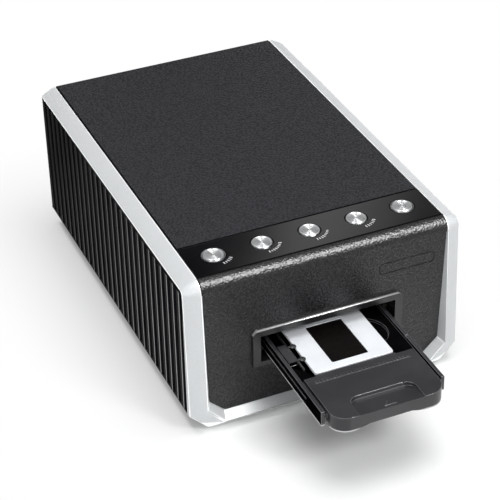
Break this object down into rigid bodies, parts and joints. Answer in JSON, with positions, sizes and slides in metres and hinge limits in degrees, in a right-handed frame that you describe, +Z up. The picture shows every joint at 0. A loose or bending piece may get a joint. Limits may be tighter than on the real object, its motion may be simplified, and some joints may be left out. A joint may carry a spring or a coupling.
{
  "type": "film slide scanner",
  "caption": "Slot-loading film scanner: ribbed black case with a silver trim frame, a row of round push buttons, and a flat slide holder drawn in and out by a motor and gear train.",
  "frame": {"origin": "on the table under the middle of the object's length and width, with the holder drawn out as at rest", "axes": "+X to the right seen from the front, +Y from the holder's grip towards the back, +Z up"},
  "size_m": [0.175, 0.335, 0.1047],
  "materials": {
    "satin_silver": "satin silver coating",
    "grained_black": "fine leather grain",
    "ribbed_black": "satin",
    "glossy_black": "polished",
    "holder_black": "smooth satin",
    "inner_grey": "moulded",
    "feet_rubber": "matt",
    "turned_steel": "turned",
    "bright_steel": "brushed",
    "bronze": "sintered",
    "acetal": "moulded",
    "green_board": "solder mask",
    "chip_black": "moulded",
    "diffuser_white": "opal",
    "front_mirror": "front-silvered",
    "lens": "coated",
    "white_mount": "smooth",
    "film": "film base"
  },
  "bodies": {
    "case": {"base_pan": "ribbed_black", "rubber_feet": "feet_rubber", "trim_frame": "satin_silver", "top_cover": "grained_black", "control_panel": "glossy_black", "front_panel": "grained_black", "side_panel_left": "ribbed_black", "side_panel_right": "ribbed_black", "rear_panel": "ribbed_black", "button_rings": "turned_steel", "button_board": "green_board", "push_switches": "chip_black", "guide_rail_left": "inner_grey", "guide_rail_right": "inner_grey", "lamp_housing": "inner_grey", "lamp_board": "green_board", "lamp_diffuser": "diffuser_white", "mirror_bracket": "inner_grey", "scan_mirror": "front_mirror", "lens_bracket": "inner_grey", "lens_barrel": "inner_grey", "lens_glass": "lens", "sensor_bracket": "inner_grey", "sensor_board": "green_board", "sensor_chip": "chip_black", "board_spacers": "bright_steel", "main_board": "green_board", "board_chips": "chip_black", "usb_socket": "bright_steel", "power_socket": "chip_black", "shaft_bushings": "bronze", "gear_pin": "bright_steel", "stepper_motor": "bright_steel", "motor_bracket": "bright_steel", "motor_screws": "bright_steel", "case_screws": "bright_steel", "rear_screws": "bright_steel", "board_screws": "bright_steel", "floor_fasteners": "bright_steel"},
    "slide_holder": {"holder_tray": "holder_black", "slide_clips": "holder_black", "slide_mounts": "white_mount", "slide_films": "film"},
    "drive_axle": {"drive_shaft": "bright_steel", "rack_pinions": "acetal", "drive_gear": "acetal"},
    "reduction_wheel": {"reduction_gear": "acetal"},
    "motor_rotor": {"motor_pinion": "acetal"},
    "eject_key": {"eject_button": "turned_steel"},
    "positive_key": {"positive_button": "turned_steel"},
    "negative_key": {"negative_button": "turned_steel"},
    "custom_key": {"custom_button": "turned_steel"},
    "power_key": {"power_button": "turned_steel"}
  },
  "joints": [
    {"name": "holder_slide", "type": "slide", "parent": "case", "child": "slide_holder", "axis": [0, 1, 0], "range_m": [-0.1, 0.066]},
    {"name": "axle_turn", "type": "hinge", "parent": "case", "child": "drive_axle", "pos_m": [0.001, -0.0575, 0.0352], "axis": [1, 0, 0], "range_deg": [-473.7, 717.2]},
    {"name": "reduction_turn", "type": "hinge", "parent": "case", "child": "reduction_wheel", "pos_m": [0.0446, -0.0325, 0.0352], "axis": [1, 0, 0], "range_deg": [-1842.7, 1216.5]},
    {"name": "motor_turn", "type": "hinge", "parent": "case", "child": "motor_rotor", "pos_m": [0.0446, -0.0065, 0.0352], "axis": [1, 0, 0], "range_deg": [-4052.6, 6139.8]},
    {"name": "eject_press", "type": "slide", "parent": "case", "child": "eject_key", "axis": [0, 0, -1], "range_m": [0, 0.001], "stiffness_N_per_m": 400, "springref_m": -0.001},
    {"name": "positive_press", "type": "slide", "parent": "case", "child": "positive_key", "axis": [0, 0, -1], "range_m": [0, 0.001], "stiffness_N_per_m": 400, "springref_m": -0.001},
    {"name": "negative_press", "type": "slide", "parent": "case", "child": "negative_key", "axis": [0, 0, -1], "range_m": [0, 0.001], "stiffness_N_per_m": 400, "springref_m": -0.001},
    {"name": "custom_press", "type": "slide", "parent": "case", "child": "custom_key", "axis": [0, 0, -1], "range_m": [0, 0.001], "stiffness_N_per_m": 400, "springref_m": -0.001},
    {"name": "power_press", "type": "slide", "parent": "case", "child": "power_key", "axis": [0, 0, -1], "range_m": [0, 0.001], "stiffness_N_per_m": 400, "springref_m": -0.001}
  ],
  "couplings": [
    {"joint": "axle_turn", "follows": "holder_slide", "rad_per_m": -125},
    {"joint": "reduction_turn", "follows": "holder_slide", "rad_per_m": 321.43},
    {"joint": "motor_turn", "follows": "holder_slide", "rad_per_m": -1071.4}
  ]
}
